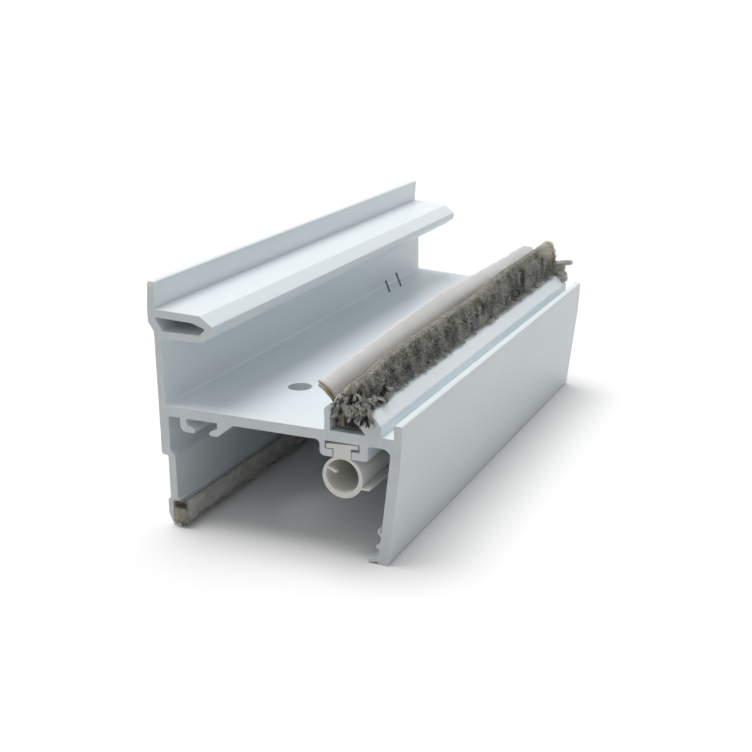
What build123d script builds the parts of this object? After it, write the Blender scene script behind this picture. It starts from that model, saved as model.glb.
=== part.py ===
from build123d import *
import os
from math import cos, radians, sin, tan

# Sawn sample of a door profile with its pile weatherstrip, bulb gasket and foot pile, in millimetres.
# The section is drawn across (from the outer face of the left wall) and up (from the floor).
# The length runs along +Y from the near end, and the far end is sawn out of square.

# Overall sizes
profile_width = 50.0
sample_length = 125.5
far_cut_angle = 12.5
edge_radius = 0.3
inner_radius = 0.5

# Left wall, from the upstanding lip down to the recessed lower part
lip_top = 48.4
lip_thickness = 1.45
lip_proud = 1.2
lip_lean = 0.45
bend_bottom = 38.9
bend_rise = 1.8
bend_radius = 1.0
upper_wall = 1.5
lower_wall = 1.95
jog_height = 14.5
jog_slope = 1.1
recess_depth = 1.4
recess_wall = 1.6

# Hollow nose fin at the top of the left wall
fin_top = 43.2
fin_fall = 0.4
fin_reach = 12.65
fin_underside = 37.7
fin_bevel = 2.6
fin_chin = 2.5
fin_roof = 1.5
fin_floor = 1.3
fin_nose_wall = 1.5
fin_nose_rise = 0.5
fin_nose_face = 1.3
fin_nose_radius = 0.3
fin_bevel_radius = 0.6
fin_chin_radius = 1.2
cavity_heel = 0.15
cavity_step = 1.7
cavity_radius = 0.25
cavity_nose_radius = 0.8

# Web with one drilled fixing hole
web_top = 24.5
web_thickness = 2.0
hole_diameter = 4.8
hole_from_face = 19.7
hole_from_end = 19.9

# Empty slot hanging under the web, with a plain hook and a gusseted hook
bare_slot_start = 5.95
bare_slot_width = 6.7
bare_slot_mouth = 3.2
bare_slot_drop = 2.7
bare_slot_stem = 1.4
bare_toe = 0.75
bare_gusset = 3.3
bare_hook_radius = 1.2

# Pile channel standing on the web beside the right wall
groove_width = 2.4
channel_floor = 7.0
channel_mouth = 4.3
channel_arm = 1.1
channel_hook = 1.1
channel_height = 4.7
channel_hook_drop = 1.7
heel_width = 3.0
heel_height = 4.1
heel_tip_height = 2.0
heel_shoulder = 1.8

# Slot for the bulb gasket, hanging under the web
bulb_slot_from_right = 11.6
bulb_slot_width = 6.9
bulb_slot_height = 1.55
bulb_slot_mouth = 3.8
bulb_slot_lip = 1.4
bulb_slot_arm = 1.0
bulb_slot_heel = 1.6
bulb_slot_radius = 0.9

# Right wall, leaning in towards its foot
rim_height = 2.6
rim_wall = 1.5
right_wall = 2.05
knee_height = 19.5
knee_inset = 0.35
foot_inset = 2.75
arch_radius = 1.8
flange_reach = 1.95
flange_root = 1.45
flange_tip = 0.4
flange_tip_lift = 0.2
flange_lift = 0.55
barb_height = 3.5
barb_reach = 0.85
barb_half = 0.8
finger_root = 5.8
finger_rise = 1.2
finger_reach = 0.65
finger_wall = 0.35

# Foot of the left wall, with a slot that opens inwards
foot_height = 5.8
foot_proud = 0.6
foot_shoulder = 0.5
foot_depth = 2.7
foot_heel = 1.1
foot_taper_height = 2.4
foot_slot_width = 4.4
foot_slot_depth = 0.95
foot_slot_mouth = 3.2

# Inserts and their clearance in the slots; cling, inner and outer are shares of the film's reach
slot_clearance = 0.15
backing_thickness = 0.9
backing_setback = 2.0
film_thickness = 0.25
film_offset = 0.7
film_knee = 4.6
film_bend = 1.2
fibre_gap = 0.1
fibre_cling = 0.3
fibre_shoulder = 1.9
fibre_shoulder_fall = 1.1
fibre_overhang = 1.9
fibre_overhang_fall = 2.6
fibre_skirt = 0.95
fibre_crown_width = 1.1
fibre_crown_fall = 0.35
left_row_inner = 0.95
left_row_outer = 0.75
tuft_pitch = 2.3
tuft_slit = 0.22
tuft_depth = 0.8
foot_fibre_reach = 2.3
foot_fibre_spread = 0.9

# The film is bowed along its length: places along it, with its lean, its reach and the fibres' crown there
near_lean = 55.3
near_reach = 5.7
near_crown = 34.8
middle_along = 58.0
middle_lean = 38.0
middle_reach = 7.5
middle_crown = 35.6
back_along = 90.0
back_lean = 42.0
back_reach = 6.8
back_crown = 37.1
far_lean = 29.0
far_reach = 5.3
far_crown = 37.2

# Bulb gasket
bulb_diameter = 8.0
bulb_bore = 6.45
bulb_bore_lift = 0.25
bulb_tuck = 0.3
bulb_foot_width = 6.3
bulb_foot_thickness = 0.8
bulb_foot_tilt = 4.0
bulb_neck = 3.4
bulb_fin_drop = 1.45
bulb_fin_reach = 5.3
bulb_fin_thickness = 0.35
burr_length = 1.9
burr_thickness = 0.4
burr_depth = 0.9
burr_angle = 155.0

# Levels and faces that several features share
web_bottom = web_top - web_thickness
web_middle = web_top - web_thickness / 2
rim_inner = profile_width - rim_wall
heel_right = rim_inner - groove_width
heel_left = heel_right - heel_width
channel_left = heel_left - channel_floor
mouth_left = channel_left + channel_hook
mouth_right = mouth_left + channel_mouth
film_across = mouth_left + channel_mouth / 2 - film_offset
bulb_centre = profile_width - bulb_slot_from_right
bulb_lip_bottom = web_bottom - bulb_slot_height - bulb_slot_lip
foot_slot_back = recess_depth - foot_proud + foot_heel
foot_slot_middle = foot_height / 2
foot_front = recess_depth - foot_proud + foot_depth + slot_clearance
fibre_right = mouth_right - slot_clearance
fibre_skirt_up = web_top + heel_height + slot_clearance + fibre_skirt
pile_places = (
    (0.0, near_lean, near_reach, near_crown),
    (middle_along, middle_lean, middle_reach, middle_crown),
    (back_along, back_lean, back_reach, back_crown),
    (sample_length, far_lean, far_reach, far_crown),
)


def outline(*corners):
    """Closed face through (across, up, corner radius) points."""
    points = [(across, up) for across, up, radius in corners]
    radii = [radius for across, up, radius in corners]
    return make_face(FilletPolyline(*points, radius=radii, close=True))


def block(left, bottom, right, top):
    """Plain rectangle between two corners."""
    return Pos((left + right) / 2, (bottom + top) / 2) * Rectangle(right - left, top - bottom)


def cove(across, up, radius, side, rise):
    """Concave fillet for an inside corner that opens towards side and rise."""
    centre = (across + side * radius, up + rise * radius)
    left, right = sorted((across, centre[0]))
    bottom, top = sorted((up, centre[1]))
    return block(left, bottom, right, top) - Pos(*centre) * Circle(radius)


def t_shape(width, height, mouth, neck):
    """T lying on its back at the origin, with the neck pointing down."""
    return block(-width / 2, -height, width / 2, 0) + block(-mouth / 2, -height - neck, mouth / 2, -height)


def outer_right(up):
    """Across position of the right wall's outer face at a height below the web."""
    knee = profile_width - knee_inset
    foot = profile_width - foot_inset
    return foot + (knee - foot) * up / knee_height


def inner_right(up):
    """Across position of the right wall's inner face at a height below the web."""
    return outer_right(up) - right_wall


def left_wall():
    """Lip, curved step, wall and recessed lower wall."""
    lip_inner = lip_thickness - lip_proud
    upper = outline(
        (lip_lean - lip_proud, lip_top, edge_radius),
        (lip_lean + lip_inner, lip_top, edge_radius),
        (lip_inner, fin_top, 0),
        (lip_inner, fin_top - fin_roof, 0),
        (upper_wall, fin_underside, 0),
        (upper_wall, web_middle, 0),
        (0, web_middle, 0),
        (0, bend_bottom, bend_radius),
        (-lip_proud, bend_bottom + bend_rise, bend_radius),
        (-lip_proud, fin_top, 0),
    )
    recess_inner = recess_depth + recess_wall
    lower = outline(
        (0, web_middle, 0),
        (lower_wall, web_middle, 0),
        (lower_wall, jog_height + jog_slope, inner_radius),
        (recess_inner, jog_height, inner_radius),
        (recess_inner, foot_slot_middle + foot_slot_width / 2, 0),
        (recess_depth, foot_slot_middle + foot_slot_width / 2, 0),
        (recess_depth, jog_height, edge_radius),
        (0, jog_height, inner_radius),
    )
    return upper + lower


def nose_fin():
    """Hollow fin with a bevelled, blunt nose, before its cavity is cut."""
    bevel_start = fin_reach - fin_bevel
    nose_top = (fin_top + fin_underside) / 2 + fin_nose_rise
    return outline(
        (0, fin_top, 0),
        (bevel_start, fin_top - fin_fall, fin_bevel_radius),
        (fin_reach, nose_top, fin_nose_radius),
        (fin_reach, nose_top - fin_nose_face, fin_nose_radius),
        (fin_reach - fin_chin, fin_underside, fin_chin_radius),
        (0, fin_underside, 0),
    )


def fin_cavity():
    """Hollow of the fin, following the curved step of the wall on its left."""
    roof = fin_top - fin_roof
    floor = fin_underside + fin_floor
    tip = fin_reach - fin_nose_wall
    return outline(
        (cavity_heel, roof, cavity_radius),
        (tip - fin_bevel, roof - fin_fall, cavity_nose_radius),
        (tip, (roof + floor) / 2, cavity_radius),
        (tip - fin_nose_wall, floor, cavity_nose_radius),
        (cavity_heel + cavity_step, floor, cavity_radius),
    )


def bare_slot():
    """Two hooks of the empty slot: a plain one on the left, a gusseted one on the right."""
    start = bare_slot_start
    end = bare_slot_start + bare_slot_width
    toe = (bare_slot_width - bare_slot_mouth) / 2
    bottom = web_bottom - bare_slot_drop
    plain = outline(
        (start - bare_slot_stem, web_middle, 0),
        (start, web_middle, 0),
        (start, bottom + 2 * bare_toe, edge_radius),
        (start + toe, bottom + bare_toe, edge_radius),
        (start + toe, bottom, bare_toe / 2),
        (start - bare_slot_stem, bottom, bare_hook_radius),
    )
    gusseted = outline(
        (end, web_middle, 0),
        (end, bottom + 2 * bare_toe, edge_radius),
        (end - toe, bottom + bare_toe, edge_radius),
        (end - toe, bottom, edge_radius),
        (end, bottom, edge_radius),
        (end + bare_gusset, web_bottom, 0),
        (end + bare_gusset, web_middle, 0),
    )
    return plain + gusseted


def pile_channel():
    """Hooked arm on the left and a rounded heel with an undercut on the right."""
    top = web_top + channel_height
    arm = outline(
        (channel_left - channel_arm, web_middle, 0),
        (channel_left - channel_arm, top, channel_arm),
        (mouth_left, top, edge_radius),
        (mouth_left, top - channel_hook_drop + edge_radius, edge_radius),
        (channel_left, top - channel_hook_drop, 0),
        (channel_left, web_middle, 0),
    )
    heel = outline(
        (heel_left, web_middle, 0),
        (heel_left, web_top, 0),
        (mouth_right, web_top + heel_tip_height, edge_radius),
        (mouth_right, web_top + heel_height, inner_radius),
        (heel_right - heel_shoulder, web_top + heel_height, heel_shoulder / 2),
        (heel_right, web_top + heel_tip_height, heel_shoulder / 2),
        (heel_right, web_middle, 0),
    )
    return arm + heel


def bulb_slot():
    """Slot that holds the foot of the bulb gasket."""
    left = bulb_centre - bulb_slot_width / 2 - bulb_slot_arm
    right = bulb_centre + bulb_slot_width / 2 + bulb_slot_heel
    body = outline(
        (left, web_middle, 0),
        (right, web_middle, 0),
        (right, bulb_lip_bottom, inner_radius),
        (left, bulb_lip_bottom, bulb_slot_radius),
    )
    hollow = t_shape(bulb_slot_width, bulb_slot_height, bulb_slot_mouth, bulb_slot_lip)
    coves = cove(left, web_bottom, bulb_slot_radius, -1, -1) + cove(right, web_bottom, inner_radius, 1, -1)
    return body + coves - Pos(bulb_centre, web_bottom) * hollow


def right_leg():
    """Right wall with its rim, and the flange, barb and finger at its foot."""
    wall = outline(
        (rim_inner, web_middle, 0),
        (rim_inner, web_top + rim_height, edge_radius),
        (profile_width, web_top + rim_height, edge_radius),
        (profile_width, web_top, 0),
        (outer_right(knee_height), knee_height, 0),
        (outer_right(0), 0, inner_radius),
        (inner_right(0), 0, edge_radius),
        (inner_right(knee_height), knee_height, 0),
        (inner_right(web_bottom), web_middle, 0),
    )
    root = inner_right(0) + right_wall / 2
    face = inner_right(0)
    flange = outline(
        (root, flange_lift, 0),
        (face - flange_reach, flange_tip_lift, edge_radius / 2),
        (face - flange_reach, flange_tip_lift + flange_tip, edge_radius / 2),
        (root, flange_lift + flange_root, 0),
    )
    barb_face = inner_right(barb_height)
    barb = outline(
        (barb_face + barb_reach, barb_height + 2 * barb_half, 0),
        (barb_face - barb_reach, barb_height, edge_radius / 2),
        (barb_face + barb_reach, barb_height - 2 * barb_half, 0),
    )
    finger_face = inner_right(finger_root)
    finger = outline(
        (finger_face + finger_wall, finger_root, 0),
        (finger_face, finger_root - finger_wall, 0),
        (finger_face - finger_reach, finger_root + finger_wall, finger_wall / 2),
        (finger_face - finger_reach, finger_root + finger_rise, finger_wall / 2),
        (finger_face - finger_reach + finger_wall, finger_root + finger_rise, finger_wall / 4),
        (finger_face - finger_reach + finger_wall, finger_root + finger_wall, 0),
    )
    arch = cove(inner_right(web_bottom), web_bottom, arch_radius, -1, -1)
    return wall + flange + barb + finger + arch


def left_foot():
    """Foot of the left wall with its inward slot."""
    outer = recess_depth - foot_proud
    front = outer + foot_depth
    body = outline(
        (outer, foot_height - foot_shoulder, edge_radius),
        (recess_depth, foot_height, 0),
        (front, foot_height, edge_radius),
        (front, 0, edge_radius),
        (outer + foot_heel, 0, inner_radius),
        (outer, foot_taper_height, foot_taper_height / 2),
    )
    hollow = t_shape(foot_slot_width, foot_slot_depth, foot_slot_mouth, front - foot_slot_back)
    return body - Pos(foot_slot_back, foot_slot_middle) * Rot(0, 0, 90) * hollow


def far_cut(bar):
    """Bar sawn off on the skew far plane."""
    tilt = radians(far_cut_angle)
    far_plane = Plane((-lip_proud, sample_length, 0), z_dir=(sin(tilt), cos(tilt), 0))
    return split(bar, bisect_by=far_plane, keep=Keep.BOTTOM)


def sawn(section, start=0.0):
    """Section drawn straight out along the length and sawn off at the far end."""
    return far_cut(Pos(0, start, 0) * extrude(Plane.XZ * section, amount=start - sample_length))


def door_profile():
    """The whole rigid extrusion."""
    web = block(0, web_bottom, inner_right(web_bottom) + right_wall / 2, web_top)
    upper_cove = cove(upper_wall, web_top, inner_radius, 1, 1)
    lower_cove = cove(lower_wall, web_bottom, inner_radius, 1, -1)
    channel_cove = cove(channel_left - channel_arm, web_top, edge_radius, -1, 1)
    section = left_wall() + nose_fin() + web + upper_cove + lower_cove + channel_cove
    section = section + bare_slot() + pile_channel() + bulb_slot() + right_leg() + left_foot()
    section = section - fin_cavity()
    drill = Pos(hole_from_face, hole_from_end, web_middle) * Cylinder(hole_diameter / 2, 2 * web_thickness)
    return sawn(section) - drill


def backing_section():
    """Woven strip lying on the channel floor, under the hook and the undercut."""
    bottom = web_top + slot_clearance
    top = bottom + backing_thickness
    undercut = (heel_left - mouth_right) / heel_tip_height
    right = heel_left - undercut * (top - web_top) - slot_clearance
    return block(channel_left + slot_clearance, bottom, right, top)


def film_line(shift, lean, reach):
    """Points of the film's middle line, moved sideways by shift: base, knee and tip."""
    angle = radians(lean)
    across = film_across + shift
    base = web_top + slot_clearance + backing_thickness
    knee = base + film_knee + shift * tan(angle / 2)
    tip = (across - reach * sin(angle), knee + reach * cos(angle))
    return (across, base), (across, knee), tip


def film_section(lean, reach, _):
    """Thin fin that rises from the strip and leans to the left."""
    left = film_line(-film_thickness / 2, lean, reach)
    right = film_line(film_thickness / 2, lean, reach)
    return outline(
        (*left[0], 0),
        (*left[1], film_bend),
        (*left[2], 0),
        (*right[2], 0),
        (*right[1], film_bend + film_thickness),
        (*right[0], 0),
    )


def fibre_section(lean, reach, crown):
    """Body of the fibre row right of the film, clinging to its lower part and spreading over the heel."""
    base, knee, touch = film_line(film_thickness / 2 + fibre_gap, lean, fibre_cling * reach)
    return outline(
        (*base, 0),
        (*knee, film_bend + film_thickness + fibre_gap),
        (*touch, 0),
        (fibre_right - fibre_shoulder, crown - fibre_shoulder_fall, 0),
        (fibre_right - fibre_crown_width / 2, crown, 0),
        (fibre_right + fibre_crown_width / 2, crown - fibre_crown_fall, 0),
        (fibre_right + fibre_overhang, crown - fibre_overhang_fall, 0),
        (fibre_right + fibre_overhang, fibre_skirt_up, 0),
        (fibre_right, fibre_skirt_up - fibre_skirt, 0),
        (fibre_right, base[1], 0),
    )


def left_fibre_section(lean, reach, _):
    """Body of the thin fibre row left of the film, pressed flat along its underside."""
    gap = film_thickness / 2 + fibre_gap
    row = film_across - gap - mouth_left - slot_clearance
    inner = film_line(-gap, lean, left_row_inner * reach)
    outer = film_line(-gap - row, lean, left_row_outer * reach)
    return outline(
        (*outer[0], 0),
        (*outer[1], 0),
        (*outer[2], 0),
        (*inner[2], 0),
        (*inner[1], film_bend - fibre_gap),
        (*inner[0], 0),
    )


def pile_row(section):
    """Row drawn through its section at each place along the bowed film, and sawn off at the far end."""
    faces = [Pos(0, along, 0) * (Plane.XZ * section(*shape)) for along, *shape in pile_places]
    return far_cut(loft(faces))


def crown_at(along):
    """Height of the fibres' crown at a place along the length."""
    for (start, _, _, low), (end, _, _, high) in zip(pile_places, pile_places[1:]):
        if along <= end:
            return low + (high - low) * (along - start) / (end - start)


def pile_slit(along):
    """Outline of a narrow cut that parts two tufts on the crown and right side of the fibre row."""
    crown = crown_at(along)
    left = fibre_right - fibre_shoulder
    right = fibre_right + fibre_overhang
    core = outline(
        (left, fibre_skirt_up, 0),
        (left, crown - fibre_shoulder_fall - tuft_depth, 0),
        (fibre_right, crown - tuft_depth, 0),
        (right - tuft_depth, crown - fibre_overhang_fall - tuft_depth / 2, 0),
        (right - tuft_depth, fibre_skirt_up, 0),
    )
    return block(left, fibre_skirt_up, right + tuft_depth, crown + tuft_depth) - core


def foot_slit(_):
    """Outline of a narrow cut that parts two tufts of the foot pile."""
    tips = foot_front + foot_fibre_reach
    return block(tips - tuft_depth, 0, tips + tuft_depth, foot_height)


def parted(row, slit):
    """Fibre row parted into tufts by a slit at every pitch."""
    places = [(step + 0.5) * tuft_pitch for step in range(int(sample_length / tuft_pitch))]
    return row - [Pos(0, along, 0) * extrude(Plane.XZ * slit(along), amount=-tuft_slit) for along in places]


def bulb_gasket():
    """Hollow bulb tucked up to its slot by a tilted foot, with an outer fin and a burr in the sawn end."""
    outer = bulb_diameter / 2
    bore = bulb_bore / 2
    ring_up = bulb_lip_bottom + bulb_tuck - outer
    bore_up = ring_up + bulb_bore_lift
    foot_up = web_bottom - bulb_slot_height / 2
    foot = Rot(0, 0, bulb_foot_tilt) * Rectangle(bulb_foot_width, bulb_foot_thickness)
    neck = block(bulb_centre - bulb_neck / 2, ring_up, bulb_centre + bulb_neck / 2, foot_up)
    fin_up = ring_up - bulb_fin_drop
    fin = block(bulb_centre, fin_up - bulb_fin_thickness, bulb_centre + bulb_fin_reach, fin_up)
    ring = Pos(bulb_centre, ring_up) * Circle(outer)
    section = Pos(bulb_centre, foot_up) * foot + neck + fin + ring
    section = section - Pos(bulb_centre, bore_up) * Circle(bore)
    burr = block(bore - burr_length, -burr_thickness / 2, (bore + outer) / 2, burr_thickness / 2)
    burr_place = Pos(bulb_centre, bore_up) * Rot(0, 0, burr_angle) * burr
    return sawn(section) + extrude(Plane.XZ * burr_place, amount=-burr_depth)


def foot_backing_section():
    """Strip of the small pile inside the foot slot."""
    half = foot_slot_width / 2 - slot_clearance
    left = foot_slot_back + slot_clearance
    right = foot_slot_back + foot_slot_depth - slot_clearance
    return block(left, foot_slot_middle - half, right, foot_slot_middle + half)


def foot_fibre_section():
    """Fibres of the small pile, spreading past the slot lips."""
    start = foot_slot_back + foot_slot_depth - slot_clearance
    half = foot_slot_mouth / 2 - slot_clearance
    wide = half + foot_fibre_spread
    return outline(
        (start, foot_slot_middle - half, 0),
        (foot_front, foot_slot_middle - half, 0),
        (foot_front + foot_fibre_reach, foot_slot_middle - wide, 0),
        (foot_front + foot_fibre_reach, foot_slot_middle + wide, 0),
        (foot_front, foot_slot_middle + half, 0),
        (start, foot_slot_middle + half, 0),
    )


# The origin is the middle of the base, under the middle of the bounding box
origin_shift = Pos((lip_proud - profile_width) / 2, -sample_length / 2, 0)
nodes = {
    "door_profile": door_profile(),
    "pile_backing": sawn(backing_section(), backing_setback),
    "pile_film": pile_row(film_section),
    "pile_fibres": parted(pile_row(fibre_section), pile_slit),
    "pile_fibres_left": pile_row(left_fibre_section),
    "bulb_gasket": bulb_gasket(),
    "foot_backing": sawn(foot_backing_section()),
    "foot_fibres": parted(sawn(foot_fibre_section()), foot_slit),
}

os.makedirs("parts", exist_ok=True)
for name, shape in nodes.items():
    export_step(origin_shift * shape, f"parts/{name}.step")
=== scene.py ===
import math

import bpy
import numpy as np
from mathutils import Matrix, Vector


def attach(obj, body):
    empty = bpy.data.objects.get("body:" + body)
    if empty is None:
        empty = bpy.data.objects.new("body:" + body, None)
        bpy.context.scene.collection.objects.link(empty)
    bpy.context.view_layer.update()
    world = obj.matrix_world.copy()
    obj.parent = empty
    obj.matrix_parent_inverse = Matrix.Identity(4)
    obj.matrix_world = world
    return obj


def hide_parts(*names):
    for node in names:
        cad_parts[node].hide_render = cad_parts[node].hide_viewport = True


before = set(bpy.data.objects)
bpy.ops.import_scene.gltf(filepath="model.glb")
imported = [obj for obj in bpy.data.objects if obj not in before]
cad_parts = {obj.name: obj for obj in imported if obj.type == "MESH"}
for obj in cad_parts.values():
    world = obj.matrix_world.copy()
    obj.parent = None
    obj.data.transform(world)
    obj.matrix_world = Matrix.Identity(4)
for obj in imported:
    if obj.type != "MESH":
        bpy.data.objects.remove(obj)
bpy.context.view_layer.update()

# Section coordinates are millimetres: across from the left wall's outer face, along from the near end
# and up from the floor
MM = 0.001
SHIFT = np.array([24.4, 62.75, 0.0])
FAR_LENGTH = 125.5
FAR_SLOPE = math.tan(math.radians(12.5))
LIP_PROUD = 1.2
WALL_INNER = 1.5
WEB_TOP = 24.5
RANDOM = np.random.default_rng(41)


def placed(points):
    """Section millimetres to the part's frame in metres."""
    return (np.asarray(points, float) - SHIFT) * MM


def far_end(across):
    """Length of the sample at a position across, up to the skew cut."""
    return FAR_LENGTH - (across + LIP_PROUD) * FAR_SLOPE


def smooth(value, low, high):
    """Soft step from 0 at low to 1 at high."""
    t = np.clip((value - low) / (high - low), 0, 1)
    return t * t * (3 - 2 * t)


def curve(t, start, pull, end):
    """Quadratic curve from start to end, drawn towards pull."""
    return (1 - t) ** 2 * start + 2 * t * (1 - t) * pull + t ** 2 * end


def triples(across, along, up):
    """Points from three coordinates, each a number or an array."""
    return np.stack(np.broadcast_arrays(across, along, up), -1).astype(float)


def linked(name, data):
    """New object in the scene."""
    made = bpy.data.objects.new(name, data)
    bpy.context.scene.collection.objects.link(made)
    return made


# Materials

# Colour sockets of the Mix node, whose names aren't unique
MIX_FACTOR, MIX_FIRST, MIX_SECOND, MIX_RESULT = 0, 6, 7, 2
NO_TURN = (0.0, 0.0, 0.0)


class Graph:
    """Short way to write the nodes of a material or a world."""

    def __init__(self, owner, output):
        owner.use_nodes = True
        self.owner = owner
        self.tree = owner.node_tree
        self.tree.nodes.clear()
        self.output = self.node(output)

    def node(self, kind, inputs=None, **settings):
        """New node with its settings made and its inputs set or linked."""
        made = self.tree.nodes.new("ShaderNode" + kind)
        for key, value in settings.items():
            setattr(made, key, value)
        for key, value in (inputs or {}).items():
            self.put(made.inputs[key], value)
        return made

    def put(self, socket, value):
        """Link a socket to another one, or set its value."""
        if isinstance(value, bpy.types.NodeSocket):
            self.tree.links.new(value, socket)
        else:
            socket.default_value = value

    def math(self, operation, first, second=0.0, third=0.0, clamp=False):
        made = self.node("Math", operation=operation, use_clamp=clamp)
        for socket, value in zip(made.inputs, (first, second, third)):
            self.put(socket, value)
        return made.outputs[0]

    def blend(self, first, second, share):
        """Sum of two values, the first by a share and the second by the rest."""
        return self.math("ADD", self.math("MULTIPLY", first, share), self.math("MULTIPLY", second, 1 - share))

    def peaks(self, value, strength):
        """Upper half of a noise, counted from 0 and times a strength."""
        return self.math("MULTIPLY", self.math("SUBTRACT", value, 0.5, clamp=True), strength)

    def mix(self, factor, first, second, blend="MIX"):
        inputs = {MIX_FACTOR: factor, MIX_FIRST: first, MIX_SECOND: second}
        return self.node("Mix", inputs, data_type="RGBA", blend_type=blend).outputs[MIX_RESULT]

    def ramp(self, factor, *stops):
        made = self.node("ValToRGB", {"Fac": factor})
        elements = made.color_ramp.elements
        while len(elements) < len(stops):
            elements.new(0.5)
        for element, (place, colour) in zip(elements, stops):
            element.position = place
            element.color = colour
        return made.outputs[0]

    def attribute(self, name):
        return self.node("Attribute", attribute_name=name).outputs["Fac"]

    def position(self):
        return self.node("TexCoord").outputs["Object"]

    def coords(self, scale, turn=NO_TURN):
        return self.node("Mapping", {"Vector": self.position(), "Scale": scale, "Rotation": turn}).outputs[0]

    def noise(self, scale, detail=3.0, turn=NO_TURN, distortion=0.0):
        inputs = {"Vector": self.coords(scale, turn), "Scale": 1.0, "Detail": detail, "Distortion": distortion}
        return self.node("TexNoise", inputs).outputs["Fac"]

    def bump(self, height, distance, strength=1.0, below=None):
        made = self.node("Bump", {"Height": height, "Distance": distance, "Strength": strength})
        if below is not None:
            self.put(made.inputs["Normal"], below)
        return made.outputs[0]

    def veiled(self, shader, share, colour):
        """Shader that lets a share of the light through."""
        through = self.node("BsdfTranslucent", {"Color": colour})
        return self.node("MixShader", {0: share, 1: shader, 2: through.outputs[0]}).outputs[0]

    def finish(self, shader):
        self.put(self.output.inputs["Surface"], shader)
        return self.owner


def material_graph(name):
    return Graph(bpy.data.materials.new(name), "OutputMaterial")


def grey(level, tint=(1.0, 1.0, 1.0)):
    """Colour of one level, times a tint."""
    return (level * tint[0], level * tint[1], level * tint[2], 1.0)


# Tints of greys
COOL = (0.908, 0.98, 1.02)
CUT = (0.925, 0.985, 1.01)
OLIVE = (0.985, 1.0, 0.89)
MOSS = (0.93, 1.0, 0.87)
DUN = (1.0, 0.985, 0.905)
BEIGE = (1.0, 0.94, 0.82)
CREAM = (1.0, 0.99, 0.95)
# Tints of the warm fibres
OLIVE_BROWN = (1.0, 0.92, 0.68)
FOOT_BROWN = (1.0, 0.88, 0.66)

# Fibre colours by tone
PILE_STOPS = ((0.0, grey(0.04, MOSS)), (0.25, grey(0.18, MOSS)), (0.5, grey(0.40, DUN)),
              (0.75, grey(0.60, DUN)), (1.0, grey(0.78, DUN)))
# the darkest fray tone is painted shade: near-black locks stand for the gaps between wisps
FRAY_STOPS = ((0.03, grey(0.03, OLIVE)), (0.3, grey(0.26, OLIVE)), (0.6, grey(0.70, CREAM)),
              (1.0, grey(0.93, CREAM)))
FOOT_STOPS = ((0.0, (0.06, 0.052, 0.040, 1.0)), (0.25, (0.42, 0.42, 0.385, 1.0)),
              (0.6, (0.72, 0.73, 0.69, 1.0)), (1.0, (0.86, 0.855, 0.81, 1.0)))

# The two pen strokes, each by its place in the corner, its end on the wall and its end on the web
PEN_HALF_WIDTH = 0.25 * MM
PEN_UNDER_WEB = 0.2 * MM
PEN_INTO_WALL = 0.3 * MM
PEN_STROKES = (
    ((WALL_INNER, 103.6, WEB_TOP), (WALL_INNER, 102.62, 25.85), (5.26, 96.74, WEB_TOP)),
    ((WALL_INNER, 110.89, WEB_TOP), (WALL_INNER, 109.42, 26.48), (5.51, 103.40, WEB_TOP)),
)
# Whitened saw burr on the near corner of the lip
BURR = (-0.1, 0.2, 48.4)
BURR_INNER, BURR_OUTER = 0.6 * MM, 1.3 * MM
BURR_COLOUR = (0.95, 0.915, 0.905, 1.0)
# Faces whose normal is this much along the length are sawn
CUT_FACING = 0.9
# Slant of the saw marks on the cut ends
SCRATCH_TURN = (0.0, math.radians(28), 0.0)
SMEAR_TURN = (0.0, math.radians(64), 0.0)


def pen_mask(graph, corner, on_wall, on_web):
    """Mask of one pen stroke that crosses the corner between wall and web."""
    a, b, c = (Vector(placed(p)) for p in (on_wall, corner, on_web))
    normal = (a - b).cross(c - b).normalized()
    position = graph.position()
    offset = graph.node("VectorMath", {0: position, 1: tuple(normal)}, operation="DOT_PRODUCT").outputs["Value"]
    x, _, z = graph.node("SeparateXYZ", {0: position}).outputs
    mask = graph.math("COMPARE", offset, normal.dot(b), PEN_HALF_WIDTH)
    for test, value, limit in (("LESS_THAN", x, c.x), ("LESS_THAN", z, a.z),
                               ("GREATER_THAN", z, b.z - PEN_UNDER_WEB), ("GREATER_THAN", x, b.x - PEN_INTO_WALL)):
        mask = graph.math("MULTIPLY", mask, graph.math(test, value, limit))
    return mask


def near_point(graph, point, inner, outer):
    """Mask that is 1 within inner metres of a section point and fades out by outer metres."""
    inputs = {0: graph.position(), 1: tuple(placed(point))}
    far = graph.node("VectorMath", inputs, operation="DISTANCE").outputs["Value"]
    fade = {"Value": far, "From Min": inner, "From Max": outer, "To Min": 1.0, "To Max": 0.0}
    return graph.node("MapRange", fade).outputs["Result"]


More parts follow.
